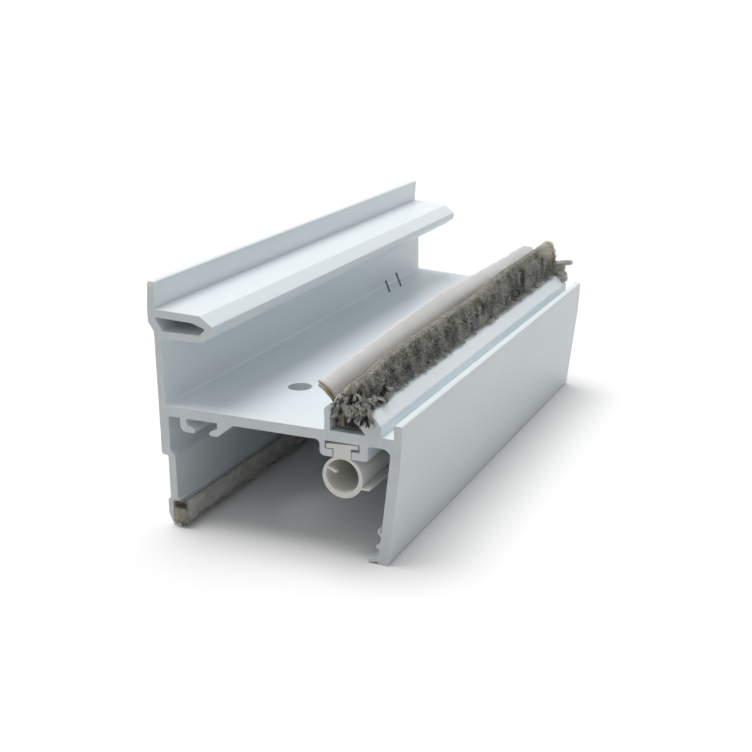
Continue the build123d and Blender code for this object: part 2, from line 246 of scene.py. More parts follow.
def rigid_pvc():
    """Extruded white PVC: die lines along the length, saw marks on the cut ends, a burr and two pen strokes."""
    g = material_graph("rigid_pvc")
    lines = g.noise((1500.0, 9.0, 1500.0), 4.0)
    broad = g.noise((260.0, 5.0, 260.0), 2.0)
    cloud = g.noise((42.0, 14.0, 42.0), 3.0)
    grain = g.noise((5200.0, 5200.0, 5200.0), 2.0)
    scratch = g.noise((2600.0, 2600.0, 330.0), 4.0, SCRATCH_TURN, 0.4)
    smear = g.noise((420.0, 420.0, 160.0), 3.0, SMEAR_TURN)
    normal = g.node("NewGeometry").outputs["True Normal"]
    facing = g.math("ABSOLUTE", g.node("SeparateXYZ", {0: normal}).outputs["Y"])
    cut = g.math("GREATER_THAN", facing, CUT_FACING)
    skin = g.ramp(cloud, (0.30, grey(0.85, COOL)), (0.70, grey(0.90, COOL)))
    skin = g.mix(g.peaks(lines, 0.3), skin, grey(0.68, COOL))
    sawn = g.ramp(g.blend(smear, scratch, 0.6), (0.30, grey(0.74, CUT)), (0.70, grey(0.82, CUT)))
    colour = g.mix(cut, skin, sawn)
    colour = g.mix(near_point(g, BURR, BURR_INNER, BURR_OUTER), colour, BURR_COLOUR)
    for stroke in PEN_STROKES:
        colour = g.mix(pen_mask(g, *stroke), colour, grey(0.035, COOL))
    rough = g.math("ADD", g.math("MULTIPLY", broad, 0.14), g.math("MULTIPLY_ADD", cut, 0.16, 0.33))
    relief = g.mix(cut, g.blend(lines, broad, 0.6), g.math("MULTIPLY", scratch, 0.8))
    bumped = g.bump(relief, 0.035 * MM, 0.4)
    bumped = g.bump(grain, 0.010 * MM, 0.3, bumped)
    inputs = {"Base Color": colour, "Roughness": rough, "Normal": bumped, "IOR": 1.53}
    return g.finish(g.node("BsdfPrincipled", inputs).outputs[0])


def soft_pvc():
    """Ivory flexible PVC of the bulb, with die lines."""
    g = material_graph("soft_pvc")
    lines = g.noise((1900.0, 14.0, 1900.0), 3.0)
    cloud = g.noise((160.0, 60.0, 160.0), 4.0)
    colour = g.ramp(cloud, (0.30, (0.79, 0.785, 0.74, 1.0)), (0.70, (0.86, 0.857, 0.82, 1.0)))
    colour = g.mix(g.peaks(lines, 0.5), colour, (0.62, 0.61, 0.55, 1.0))
    rough = g.math("MULTIPLY_ADD", cloud, 0.2, 0.42)
    bumped = g.bump(lines, 0.04 * MM, 0.6)
    inputs = {"Base Color": colour, "Roughness": rough, "Normal": bumped}
    return g.finish(g.node("BsdfPrincipled", inputs).outputs[0])


def fibre(name, stops, root_shade, warm_tint=OLIVE_BROWN, veil=0.0):
    """Loose fibres: each strand has its own tone, roots are darker than tips as painted shade, and some are warmer.
    """
    g = material_graph(name)
    tone, along, warm = (g.attribute(label) for label in ("tone", "along", "warm"))
    fleck = g.noise((2600.0, 2600.0, 2600.0), 2.0)
    colour = g.ramp(g.math("MULTIPLY_ADD", g.math("SUBTRACT", fleck, 0.5), 0.25, tone), *stops)
    # painted shade: colour darkens towards the roots, where the fibres shade each other
    shade = g.ramp(along, (0.05, grey(root_shade)), (0.75, grey(1.0)))
    colour = g.mix(1.0, colour, shade, "MULTIPLY")
    colour = g.mix(warm, colour, (*warm_tint, 1.0), "MULTIPLY")
    rough = g.math("MULTIPLY_ADD", fleck, 0.2, 0.6)
    inputs = {"Base Color": colour, "Roughness": rough, "Specular IOR Level": 0.2}
    shader = g.node("BsdfPrincipled", inputs).outputs[0]
    return g.finish(g.veiled(shader, veil, colour) if veil else shader)


def film_plastic():
    """Thin milky film: pale at its free edge, and grey brown lower down as painted shade and painted show-through of
    the fibres behind it.
    """
    g = material_graph("film")
    pale, end = g.attribute("pale"), g.attribute("end")
    streak = g.noise((700.0, 60.0, 700.0), 3.0)
    mottle = g.noise((240.0, 130.0, 240.0), 3.0)
    # painted shade: the pale share makes the film darker lower down, towards the fibres
    height = g.math("MULTIPLY_ADD", g.math("SUBTRACT", mottle, 0.5), 0.16, pale)
    colour = g.ramp(height, (0.0, (0.39, 0.375, 0.34, 1.0)), (0.35, (0.49, 0.48, 0.455, 1.0)),
                    (0.7, (0.72, 0.72, 0.715, 1.0)), (1.0, (0.865, 0.868, 0.875, 1.0)))
    colour = g.mix(end, colour, (0.34, 0.28, 0.19, 1.0))
    colour = g.mix(g.peaks(streak, 0.4), colour, grey(0.45, BEIGE))
    bumped = g.bump(streak, 0.05 * MM, 0.4)
    shader = g.node("BsdfPrincipled", {"Base Color": colour, "Normal": bumped, "Roughness": 0.38})
    return g.finish(g.veiled(shader.outputs[0], 0.22, (0.80, 0.79, 0.77, 1.0)))


def woven(name, dark, light):
    """Woven strip that the fibres are bound in."""
    g = material_graph(name)
    waves = []
    for direction in ("X", "Y"):
        inputs = {"Vector": g.coords((520.0, 520.0, 520.0)), "Scale": 1.0, "Distortion": 0.6}
        waves.append(g.node("TexWave", inputs, bands_direction=direction).outputs["Fac"])
    weave = g.math("MULTIPLY", *waves)
    colour = g.ramp(weave, (0.1, dark), (0.8, light))
    bumped = g.bump(weave, 0.12 * MM, 0.8)
    inputs = {"Base Color": colour, "Roughness": 0.8, "Normal": bumped}
    return g.finish(g.node("BsdfPrincipled", inputs).outputs[0])


# Meshes

STRAND_SIDES = 3
TINY = 1e-9


def finished_mesh(name, points, faces, values, material):
    """Smooth mesh object from section points, with one named value per point for its material."""
    mesh = bpy.data.meshes.new(name)
    mesh.from_pydata(placed(points).tolist(), [], faces)
    mesh.polygons.foreach_set("use_smooth", np.ones(len(mesh.polygons), bool))
    for label, numbers in values.items():
        data = mesh.attributes.new(label, "FLOAT", "POINT").data
        data.foreach_set("value", np.ravel(numbers).astype(np.float32))
    mesh.materials.append(material)
    return linked(name, mesh)


def strand_mesh(name, root, middle, tip, radius, tone, warm, material, rings=3, taper=0.55):
    """Tapered three-sided strands along quadratic curves, each one closed."""
    count = len(root)
    steps = np.linspace(0.0, 1.0, rings)
    line = curve(steps[None, :, None], root[:, None], middle[:, None], tip[:, None])
    tangent = np.gradient(line, axis=1)
    tangent /= np.linalg.norm(tangent, axis=2, keepdims=True) + TINY
    side = np.cross(tangent, RANDOM.normal(size=(count, 1, 3)))
    side /= np.linalg.norm(side, axis=2, keepdims=True) + TINY
    other = np.cross(tangent, side)
    angle = (np.arange(STRAND_SIDES) * 2 * math.pi / STRAND_SIDES)[None, None, :, None]
    width = radius[:, None, None, None] * (1 - taper * steps)[None, :, None, None]
    ring = np.cos(angle) * side[:, :, None] + np.sin(angle) * other[:, :, None]
    points = (line[:, :, None] + width * ring).reshape(-1, 3)
    size = STRAND_SIDES * rings
    pattern = []
    for low in range(0, size - STRAND_SIDES, STRAND_SIDES):
        high = low + STRAND_SIDES
        for j in range(STRAND_SIDES):
            n = (j + 1) % STRAND_SIDES
            pattern.append([low + j, low + n, high + n, high + j])
    ends = [[2, 1, 0], [size - 3, size - 2, size - 1]]
    starts = (np.arange(count) * size)[:, None, None]
    quads = (np.array(pattern)[None] + starts).reshape(-1, 4)
    caps = (np.array(ends)[None] + starts).reshape(-1, 3)
    values = {"tone": np.repeat(tone, size), "along": np.tile(np.repeat(steps, STRAND_SIDES), count),
              "warm": np.repeat(warm, size)}
    return finished_mesh(name, points, quads.tolist() + caps.tolist(), values, material)


def lofted(name, line, values, material):
    """Closed body through rings of points, line[station, point], with its two ends capped."""
    stations, around = line.shape[:2]
    index = np.arange(stations * around).reshape(stations, around)
    after = np.roll(index, -1, axis=1)
    quads = np.stack([index[:-1], index[1:], after[1:], after[:-1]], 2).reshape(-1, 4)
    faces = quads.tolist() + [index[0].tolist(), index[-1][::-1].tolist()]
    return finished_mesh(name, line.reshape(-1, 3), faces, values, material)


def edges(along, corners):
    """Straight edges of a lofted body, one for each (across, up) corner."""
    place = along[:, 0]
    return [triples(across, place, up)[:, None] for across, up in corners]


CLUMP_GRID = (401, 61)
CLUMPS = RANDOM.random(CLUMP_GRID)


def clumps(first, second, cell):
    """Smooth noise from 0 to 1 over two lengths, with features about a cell wide."""
    a, b = first / cell, second / cell
    i, j = np.floor(a).astype(int), np.floor(b).astype(int)
    fa, fb = smooth(a - i, 0, 1), smooth(b - j, 0, 1)

    def row(y):
        near, far = (CLUMPS[x % CLUMP_GRID[0], y % CLUMP_GRID[1]] for x in (i, i + 1))
        return near * (1 - fa) + far * fa

    return row(j) * (1 - fb) + row(j + 1) * fb


# Fibre row right of the film

PILE_ROOT = 25.6
PILE_ACROSS = 41.5
PILE_FAR = far_end(PILE_ACROSS)
# Height of the fibres' crown along the length
CROWN_ALONG = np.array([0.0, 6.0, 16.0, 62.0, 80.0, 120.0])
CROWN_UP = np.array([34.0, 34.5, 35.4, 35.6, 37.0, 37.15])
# Outer line of the row, from beside the film over the crown to the heel
FAN = np.array([0.0, 0.2, 0.42, 0.6, 0.82, 1.0])
FAN_ACROSS = np.array([37.75, 39.3, 40.7, 41.9, 43.05, 43.25])
FAN_FALL = np.array([3.2, 1.15, 0.1, 0.4, 2.6, 5.9])
FAN_LENGTH = 11.0
FAN_STEP = 0.02
SKIRT = 29.1
# Least height of what lies over the heel, and height where whole fibres leave the channel
OVER_HEEL = 28.85
NECK_UP = 28.9
# Corners of the row's inner body in the channel, left and right
NECK_LEFT = ((38.95, 26.0), (38.9, 29.6))
NECK_RIGHT = ((41.3, 28.8), (41.3, 26.0))
# painted shade: the body inside the channel gets a dark tone
NECK_SHADE_TONE = 0.1
# Tone and raggedness round the outer line; the tone is painted light and shade, pale on the lit top beside the film
# and dark on the shaded side over the heel
COAT_SHARE = [0.0, 0.42, 0.56, 0.70, 0.84, 0.92, 1.0]
COAT_PAINTED_LIGHT_TONE = [0.66, 0.62, 0.56, 0.44, 0.32, 0.38, 0.52]
RAGGED_SHARE = [0.0, 0.5, 0.66, 0.80, 1.0]
RAGGED = [0.12, 0.20, 0.50, 0.95, 1.0]
# Pale dome at the far end
DOME_START, DOME_FULL, DOME_TONE = PILE_FAR - 12.0, PILE_FAR - 5.0, 0.96
# Widths of the two sizes of tuft
LARGE_TUFT, SMALL_TUFT = 1.8, 0.6
# Hollows on the near end, across and up, where the fibres' tone is lowered as painted shade
NEAR_SHADED_HOLLOWS = ((42.1, 33.0), (39.7, 30.3), (40.6, 31.6))
HOLLOW_SHADE_SPREAD = 0.45


def fan_point(share, along):
    """Point and outward direction of the row's outer line, at a share of the way round and a place along."""
    crown = np.interp(along, CROWN_ALONG, CROWN_UP)
    ends = []
    for s in (share, np.clip(share - FAN_STEP, 0, 1), np.clip(share + FAN_STEP, 0, 1)):
        to_skirt = np.clip((s - FAN[-2]) / (1 - FAN[-2]), 0, 1)
        fall = np.interp(s, FAN, FAN_FALL) + (crown - FAN_FALL[-1] - SKIRT) * to_skirt
        ends.append((np.interp(s, FAN, FAN_ACROSS), np.maximum(crown - fall, SKIRT)))
    (across, up), (a0, u0), (a1, u1) = ends
    length = np.hypot(a1 - a0, u1 - u0) + TINY
    return across, up, -(u1 - u0) / length, (a1 - a0) / length


def tuft_relief(share, along):
    """How far a spot of the row stands out or lies back, from -1 to 1, in tufts of two sizes."""
    large = clumps(along, share * FAN_LENGTH, LARGE_TUFT)
    small = clumps(along + 91.3, share * FAN_LENGTH + 17.0, SMALL_TUFT)
    return (0.68 * large + 0.32 * small - 0.5) * 2


def coat(share, along):
    """Tone and raggedness of the row: pale and sleek beside the film, dark and ragged over the heel; the tone is
    painted light on the top and painted shade on the side over the heel.
    """
    tone = np.interp(share, COAT_SHARE, COAT_PAINTED_LIGHT_TONE)
    ragged = np.interp(share, RAGGED_SHARE, RAGGED)
    dome = smooth(along, DOME_START, DOME_FULL) * (1 - smooth(share, 0.74, 0.95))
    return tone * (1 - dome) + DOME_TONE * dome, ragged * (1 - 0.95 * dome)


def end_warmth(along, across):
    """Olive brown towards the far end of the row, and a little at its near end."""
    far = far_end(across)
    return 0.85 * smooth(along, far - 6.0, far - 1.0) + 0.4 * (1 - smooth(along, 0.0, 2.0))


def pile_core(material, stations=330, around=24):
    """Dense inner body of the row."""
    along = np.linspace(0.5, PILE_FAR - 0.6, stations)[:, None]
    share = np.linspace(0.0, 1.0, around)[None, :]
    along_all, share_all = along + 0 * share, share + 0 * along
    across, up, out_across, out_up = fan_point(share_all, along_all)
    relief = tuft_relief(share_all, along_all)
    base, ragged = coat(share_all, along_all)
    depth = 0.34 - 0.26 * ragged * relief
    across, up = across - depth * out_across, np.maximum(up - depth * out_up, OVER_HEEL)
    line = np.concatenate(edges(along, NECK_LEFT) + [triples(across, along, up)] + edges(along, NECK_RIGHT), axis=1)
    necks = ((0, 0), (len(NECK_LEFT), len(NECK_RIGHT)))
    # painted shade: tufts that lie back are darker and those that stand out lighter
    tone = np.pad(base - 0.06 + 0.40 * ragged * relief, necks, constant_values=NECK_SHADE_TONE)
    warm = np.clip(end_warmth(along, PILE_ACROSS) + np.pad(0.12 * (1 - ragged), necks), 0, 1)
    values = {"tone": tone, "along": np.full(tone.shape, 0.55), "warm": warm}
    return lofted("pile_core", line, values, material)


def pile_strands(name, start, stop, material, count=12500):
    """Short fibres that cover the row between two places along it."""
    share = RANDOM.random(count) ** 0.9
    along = RANDOM.uniform(start, stop, count)
    across, up, out_across, out_up = fan_point(share, along)
    relief = tuft_relief(share, along)
    base, ragged = coat(share, along)
    outward = triples(out_across, 0.0, out_up)
    round_way = triples(out_up, 0.0, -out_across)
    stray = (0.35 + 0.65 * ragged)[:, None]
    lay_along = RANDOM.normal(0, 0.55, (count, 1)) * stray * np.array([0.0, 1.0, 0.0])
    lay = lay_along + (RANDOM.normal(0, 0.45, (count, 1)) * stray - 0.5 * (1 - stray)) * round_way
    lean = (0.30 + 0.32 * ragged)[:, None] * outward + lay
    length = RANDOM.uniform(0.6, 1.05, count)[:, None]
    depth = 0.50 + 0.12 * ragged - 0.26 * ragged * relief
    root = triples(across, along, up) - depth[:, None] * outward
    tip = root + length * lean
    middle = root + 0.55 * length * (0.75 * outward + 0.3 * lay)
    tip[:, 2] = np.maximum(tip[:, 2], OVER_HEEL)
    scatter = RANDOM.normal(0, 0.16, count) * (0.4 + 0.6 * ragged)
    # painted shade: strands of tufts that lie back are darker, those that stand out lighter
    tone = np.clip(base + ragged * (0.46 * relief) + scatter, 0, 1)
    warm = np.clip(end_warmth(along, across) * RANDOM.uniform(0.5, 1.0, count) + 0.12 * (1 - ragged), 0, 1)
    radius = RANDOM.uniform(0.06, 0.10, count)
    return strand_mesh(name, root, middle, tip, radius, tone, warm, material)


def pile_ends(material, near=1100, far=700):
    """Whole fibres seen on the two sawn ends of the row, from the strip up to the outer line."""
    count = near + far
    at_far = np.arange(count) >= near
    share = RANDOM.random(count)
    across = np.clip(38.95 + 2.3 * share + RANDOM.normal(0, 0.1, count), 38.9, 41.25)
    inward = RANDOM.random(count) ** 1.5
    along = np.where(at_far, PILE_FAR - 0.30 - 1.6 * inward, 0.5 + 1.5 * inward)
    end_across, end_up, _, _ = fan_point(share, along)
    reach = 1.0 - 0.35 * RANDOM.random(count) ** 2
    tip_across = across + (end_across - across) * reach + RANDOM.normal(0, 0.12, count)
    tip_up = np.maximum(NECK_UP + (end_up - NECK_UP) * reach, 29.0)
    splay = np.where(at_far, 0.3, -0.45) * RANDOM.random(count)
    root = triples(across, along, PILE_ROOT)
    middle_up = np.maximum(30.0, NECK_UP + 0.55 * (tip_up - NECK_UP))
    middle = triples(across + 0.2 * (tip_across - across), along, middle_up)
    tip = triples(tip_across, along + splay, tip_up)
    # painted shade: fibres that end in the near end's hollows are darkened
    hollow_shade = np.zeros(count)
    for hollow_across, hollow_up in NEAR_SHADED_HOLLOWS:
        hollow_shade += np.exp(-((tip_across - hollow_across) ** 2 + (tip_up - hollow_up) ** 2) / HOLLOW_SHADE_SPREAD)
    base, _ = coat(share, along)
    lock = clumps(share * 9.0, along * 2.0, 0.7)
    tone = base + 0.7 * (lock - 0.5) + RANDOM.normal(0, 0.14, count) - np.where(at_far, 0.0, 0.6 * hollow_shade)
    warm = np.where(at_far, 0.9, 0.35) * RANDOM.random(count)
    radius = RANDOM.uniform(0.06, 0.11, count)
    return strand_mesh("pile_ends", root, middle, tip, radius, np.clip(tone, 0, 1), warm, material, rings=5)


# Frayed locks

FRAY_FAR = far_end(44.0)


def locks(centre_root, centre_middle, centre_tip, tone, strands, spread):
    """Locks of strands that share a course, a tone and a little scatter."""
    count = len(centre_root) * strands
    scatter = RANDOM.normal(0, spread, (count, 3))
    root = np.repeat(centre_root, strands, 0) + 0.6 * scatter
    middle = np.repeat(centre_middle, strands, 0) + scatter
    tip = np.repeat(centre_tip, strands, 0) + 1.3 * scatter + RANDOM.normal(0, 0.5 * spread, (count, 3))
    return root, middle, tip, np.clip(np.repeat(tone, strands) + RANDOM.normal(0, 0.12, count), 0, 1)


def spread_points(count, across, along, up):
    """Points spread evenly through a box, given by a range in each direction."""
    return triples(*(RANDOM.uniform(low, high, count) for low, high in (across, along, up)))


def lifted(root, tip, rise):
    """Middle points between roots and tips, raised a little."""
    return (root + tip) / 2 + triples(0.0, 0.0, rise)


def over_heel(count=60):
    """Locks that fall over the heel, most of them close to the near end."""
    along = RANDOM.random(count) ** 1.5 * 9.0 + 0.1
    root = triples(RANDOM.uniform(40.2, 41.8, count), along, RANDOM.uniform(29.0, 32.2, count))
    tip = triples(RANDOM.uniform(42.2, 44.8, count), along + RANDOM.normal(-0.4, 0.8, count),
                  RANDOM.uniform(28.95, 30.9, count))
    tip[:, 1] = np.maximum(tip[:, 1], -0.7)
    middle = lifted(root, tip, RANDOM.uniform(0.2, 0.9, count))
    # painted shade: the darkest locks stand for shaded gaps
    tone = RANDOM.choice([0.08, 0.45, 0.8, 1.0], count, p=[0.25, 0.15, 0.3, 0.3])
    return locks(root, middle, tip, tone, 24, 0.12)


def down_heel(count=46):
    """Locks that hang down the heel's near end face, every way."""
    root = spread_points(count, (40.6, 44.4), (0.2, 1.2), (28.95, 30.2))
    drop = RANDOM.uniform(0.8, 3.0, count)
    tip = triples(root[:, 0] + RANDOM.uniform(-1.4, 1.9, count), RANDOM.uniform(-0.75, -0.35, count),
                  root[:, 2] - drop)
    middle = triples(root[:, 0] + RANDOM.uniform(-0.3, 0.8, count), -0.6, root[:, 2] - 0.1)
    # painted shade: the darkest locks stand for shaded gaps
    tone = RANDOM.choice([0.04, 0.5, 0.95], count, p=[0.36, 0.16, 0.48])
    return locks(root, middle, tip, tone, 16, 0.10)


def down_hook(count=16):
    """Locks that hang down the hook's near end, left of the film."""
    root = spread_points(count, (37.4, 38.3), (0.1, 1.2), (29.4, 30.6))
    tip = spread_points(count, (36.3, 37.7), (-0.6, -0.25), (27.2, 28.8))
    middle = triples(root[:, 0] - 0.25, -0.35, root[:, 2] - 0.3)
    return locks(root, middle, tip, RANDOM.choice([0.35, 0.8, 1.0], count), 16, 0.09)


def near_front(count=44):
    """Locks across the row's near end, every way."""
    root = spread_points(count, (37.7, 41.6), (0.15, 0.6), (29.6, 31.8))
    swing = RANDOM.normal(0.2, 1.1, count)
    tip = triples(np.clip(root[:, 0] + swing, 37.0, 43.2), RANDOM.uniform(-0.65, -0.15, count),
                  root[:, 2] - RANDOM.uniform(0.2, 3.4, count) + 0.25 * np.abs(swing))
    tip[:, 2] = np.maximum(tip[:, 2], 27.5)
    middle = triples((root[:, 0] + tip[:, 0]) / 2 + RANDOM.normal(0, 0.5, count), -0.4,
                     (root[:, 2] + tip[:, 2]) / 2 + 0.4)
    # painted shade: the darkest locks stand for shaded gaps
    tone = RANDOM.choice([0.04, 0.4, 0.85, 1.0], count, p=[0.34, 0.08, 0.2, 0.38])
    return locks(root, middle, tip, tone, 16, 0.10)


def heel_edge(count=130):
    """Wisps along the whole heel, from the row's skirt outward."""
    along = RANDOM.uniform(7.0, far_end(43.0) - 3.0, count)
    root = triples(RANDOM.uniform(42.5, 43.1, count), along, RANDOM.uniform(29.2, 30.0, count))
    tip = triples(RANDOM.uniform(43.5, 44.4, count), along + RANDOM.normal(0, 0.6, count),
                  RANDOM.uniform(28.92, 29.1, count))
    middle = lifted(root, tip, RANDOM.uniform(0.05, 0.3, count))
    return locks(root, middle, tip, RANDOM.uniform(0.45, 0.75, count), 8, 0.12)


def far_flare(count=60):
    """Pale flap that flares right at the far end."""
    turn = np.linspace(0.0, 1.0, count)
    root = triples(RANDOM.uniform(42.2, 43.4, count), FRAY_FAR - RANDOM.uniform(0.4, 2.4, count), 28.95 + 2.6 * turn)
    tip = triples(45.1 + RANDOM.uniform(0.0, 0.5, count) + 2.2 * smooth(turn, 0.75, 1.0),
                  FRAY_FAR + RANDOM.uniform(-1.4, -0.3, count), 29.1 + 3.0 * turn)
    middle = lifted(root, tip, 0.25 + 0.3 * turn)
    return locks(root, middle, tip, RANDOM.uniform(0.96, 1.0, count), 34, 0.17)


def far_drape(count=36):
    """Pale locks that drape over the heel at the far end."""
    root = triples(RANDOM.uniform(43.6, 44.6, count), FRAY_FAR - RANDOM.uniform(0.5, 2.4, count),
                   RANDOM.uniform(29.0, 29.6, count))
    tip = triples(RANDOM.uniform(45.7, 46.3, count), root[:, 1] + RANDOM.normal(0.1, 0.2, count),
                  RANDOM.uniform(27.0, 29.4, count))
    middle = triples(45.5, root[:, 1], 29.6)
    return locks(root, middle, tip, RANDOM.uniform(0.96, 1.0, count), 26, 0.14)


def pile_fray(material):
    """Unravelled locks at both ends of the row and wisps along its heel."""
    sets = [over_heel(), down_heel(), down_hook(), near_front(), heel_edge(), far_flare(), far_drape()]
    root, middle, tip, tone = (np.concatenate(group) for group in zip(*sets))
    radius = RANDOM.uniform(0.035, 0.075, len(root))
    return strand_mesh("pile_fray", root, middle, tip, radius, tone, np.zeros(len(root)), material, rings=4)


# Film and the fibre row left of it

FILM_FAR = far_end(36.5)
LEFT_FAR = far_end(37.0)
FILM_ALONG = np.array([0.0, 5.0, 17.5, 36.5, 58.0, 81.0, 98.0, 110.0, 118.0])
FILM_TIP_ACROSS = np.array([33.95, 33.95, 34.0, 34.0, 34.0, 34.0, 34.2, 34.9, 35.6])
FILM_TIP_UP = np.array([33.4, 33.8, 34.4, 35.4, 36.1, 35.4, 35.1, 35.6, 35.5])
FILM_BASE = (38.65, PILE_ROOT)
FILM_THICKNESS = 0.18
# Ripple of the free edge: height, pace and start of each wave
FILM_RIPPLES = ((0.06, 0.9, 1.0), (0.05, 2.3, 0.0), (0.03, 5.1, 2.0))
# Shares of the rise between which the film's painted shade gives way to its pale colour, along the length
PALE_ALONG = [0.0, 15.0, 40.0, 90.0, 112.0]
PALE_START = [0.50, 0.53, 0.56, 0.55, 0.47]
PALE_FULL = [1.02, 0.98, 0.93, 0.91, 0.80]


def film_point(rise, along, below=0.0):
    """Point of the film at a share of its rise, or of a layer some way under it."""
    ripple = sum(height * np.sin(along * pace + start) for height, pace, start in FILM_RIPPLES)
    tip_across = np.interp(along, FILM_ALONG, FILM_TIP_ACROSS) - 0.5 * ripple
    tip_up = np.interp(along, FILM_ALONG, FILM_TIP_UP) + ripple
    knee = 31.2 + 0.25 * (tip_up - 33.4)
    base_across, base_up = FILM_BASE
    lean = np.arctan2(base_across - tip_across, tip_up - knee)
    across = curve(rise, base_across - below, base_across + 0.1 - below, tip_across - below * np.cos(lean))
    up = curve(rise, base_up, knee - below * np.tan(lean / 2), tip_up - below * np.sin(lean))
    return triples(across, along, up)


def pile_film(material, lengthwise=170, upward=20):
    """Milky film that rises between the fibres and leans left, higher in the middle of its length."""
    rise = np.linspace(0.0, 1.0, upward)[None, :]
    along = np.linspace(0.05, FILM_FAR - 0.2, lengthwise)[:, None]
    corner = 1 - 0.10 * smooth(along, FILM_FAR - 5.0, FILM_FAR - 0.2) ** 2
    line = film_point(rise * corner, along + 0 * rise)
    normal = np.cross(np.gradient(line, axis=1), np.gradient(line, axis=0))
    normal /= np.linalg.norm(normal, axis=2, keepdims=True)
    half = FILM_THICKNESS / 2
    points = np.concatenate([(line + half * normal).reshape(-1, 3), (line - half * normal).reshape(-1, 3)])
    total = lengthwise * upward
    index = np.arange(total).reshape(lengthwise, upward)
    a, b, c, d = index[:-1, :-1], index[1:, :-1], index[1:, 1:], index[:-1, 1:]
    front = np.stack([a, d, c, b], 2).reshape(-1, 4)
    back = np.stack([a, b, c, d], 2).reshape(-1, 4) + total
    rim = np.concatenate([index[:, 0], index[-1, 1:], index[-2::-1, -1], index[0, -2:0:-1]])
    after = np.roll(rim, -1)
    edge = np.stack([rim, after, after + total, rim + total], 1)
    # painted shade on the film: darker low down, pale towards the free edge
    start, full = (np.interp(along, PALE_ALONG, shares) for shares in (PALE_START, PALE_FULL))
    pale = smooth(rise + 0 * along, start, full)
    end = (1 - smooth(along, 0.0, 0.6)) + 0 * rise
    values = {"pale": np.tile(pale.ravel(), 2), "end": np.tile(end.ravel(), 2)}
    return finished_mesh("pile_film_sheet", points, front.tolist() + back.tolist() + edge.tolist(), values, material)


def left_core(material, stations=220, rows=14):
    """Thin layer of fibres pressed along the film's left side, thicker and blunt at its near end."""
    along = 0.1 + (LEFT_FAR - 0.6) * np.linspace(0.0, 1.0, stations)[:, None] ** 1.2
    blunt = 1 - smooth(along, 0.5, 4.0)
    upper = np.linspace(0.03, 1.0, rows)[None, :] * (0.90 + 0.07 * blunt)
    lower = upper[:, ::-1] * (0.95 + 0.04 * blunt)
    ragged = 0.08 * (clumps(along, 3.0 + 0 * along, 0.9) - 0.5) * (1 - blunt)
    inner = film_point(upper + ragged * upper, along + 0 * upper, 0.14)
    outer = film_point(lower + ragged * lower, along + 0 * lower, 0.62 + 0.25 * blunt)
    line = np.concatenate([inner, outer], axis=1)
    rise = np.concatenate([upper, lower], axis=1)
    tone = 0.26 + 0.25 * clumps(along, np.arange(2 * rows)[None, :] * 0.7 + 0 * along, 0.9)
    tone = tone + blunt * (0.55 * smooth(rise, 0.66, 0.86) - 0.15)
    warm = np.repeat(0.25 + 0.35 * (1 - smooth(along, 0.0, 3.0)), 2 * rows, 1)
    values = {"tone": tone, "along": np.full(tone.shape, 0.6), "warm": warm}
    return lofted("pile_left_core", line, values, material)


def left_strands(material, count=8200):
    """Fibres on the left of the film, lying up along it over the hooked arm."""
    along = RANDOM.uniform(0.15, LEFT_FAR - 0.4, count)
    below = RANDOM.uniform(0.35, 0.85, count)
    top = np.clip(0.93 - 0.38 * RANDOM.random(count) ** 1.6 - 0.12 * (below - 0.35), 0.3, 0.94)
    root = film_point(np.full(count, 0.02), along, below)
    tip = film_point(top, along, below + RANDOM.normal(0.04, 0.08, count))
    tip = tip + triples(0.0, RANDOM.normal(0, 0.45, count), 0.0)
    tip[:, 1] = np.maximum(tip[:, 1], -0.3)
    half = film_point(top / 2, along, below)
    middle = 2 * half - (root + tip) / 2
    tone = np.clip(0.30 + 0.5 * clumps(along, below * 2.0, 0.8) + RANDOM.normal(0, 0.15, count), 0, 1)
    warm = np.clip(0.2 + 0.4 * (1 - smooth(along, 0.0, 3.0)) + RANDOM.normal(0, 0.1, count), 0, 1)
    radius = RANDOM.uniform(0.06, 0.10, count)
    return strand_mesh("pile_left", root, middle, tip, radius, tone, warm, material, rings=4)


# Small pile in the foot

FOOT_FAR = far_end(4.0)
# Height of the small pile's middle
FOOT_UP = 2.9
# Corners of its inner body in the slot
FOOT_NECK = ((4.05, 4.85), (3.85, 4.3), (2.8, 4.25), (2.8, 1.55), (3.85, 1.5))
FOOT_TUFT = 1.1


def foot_core(material, stations=240, around=13):
    """Dense inner body of the small pile."""
    along = np.linspace(0.3, FOOT_FAR - 0.4, stations)[:, None]
    fan = np.linspace(-1.0, 1.0, around)[None, :]
    relief = (clumps(along, fan * 3.0 + 20.0, FOOT_TUFT) - 0.5) * 2
    shown = triples(5.2 + 0.35 * relief - 0.55 * fan ** 2, along, FOOT_UP + 2.0 * fan)
    line = np.concatenate([shown] + edges(along, FOOT_NECK), axis=1)
    # painted shade: tufts that lie back are darker, and the body inside the slot darker still
    tone = np.pad(0.56 + 0.14 * relief, ((0, 0), (0, len(FOOT_NECK))), constant_values=0.4)
    full = np.full(tone.shape, 0.6)
    return lofted("foot_core", line, {"tone": tone, "along": full, "warm": 0.08 * full}, material)


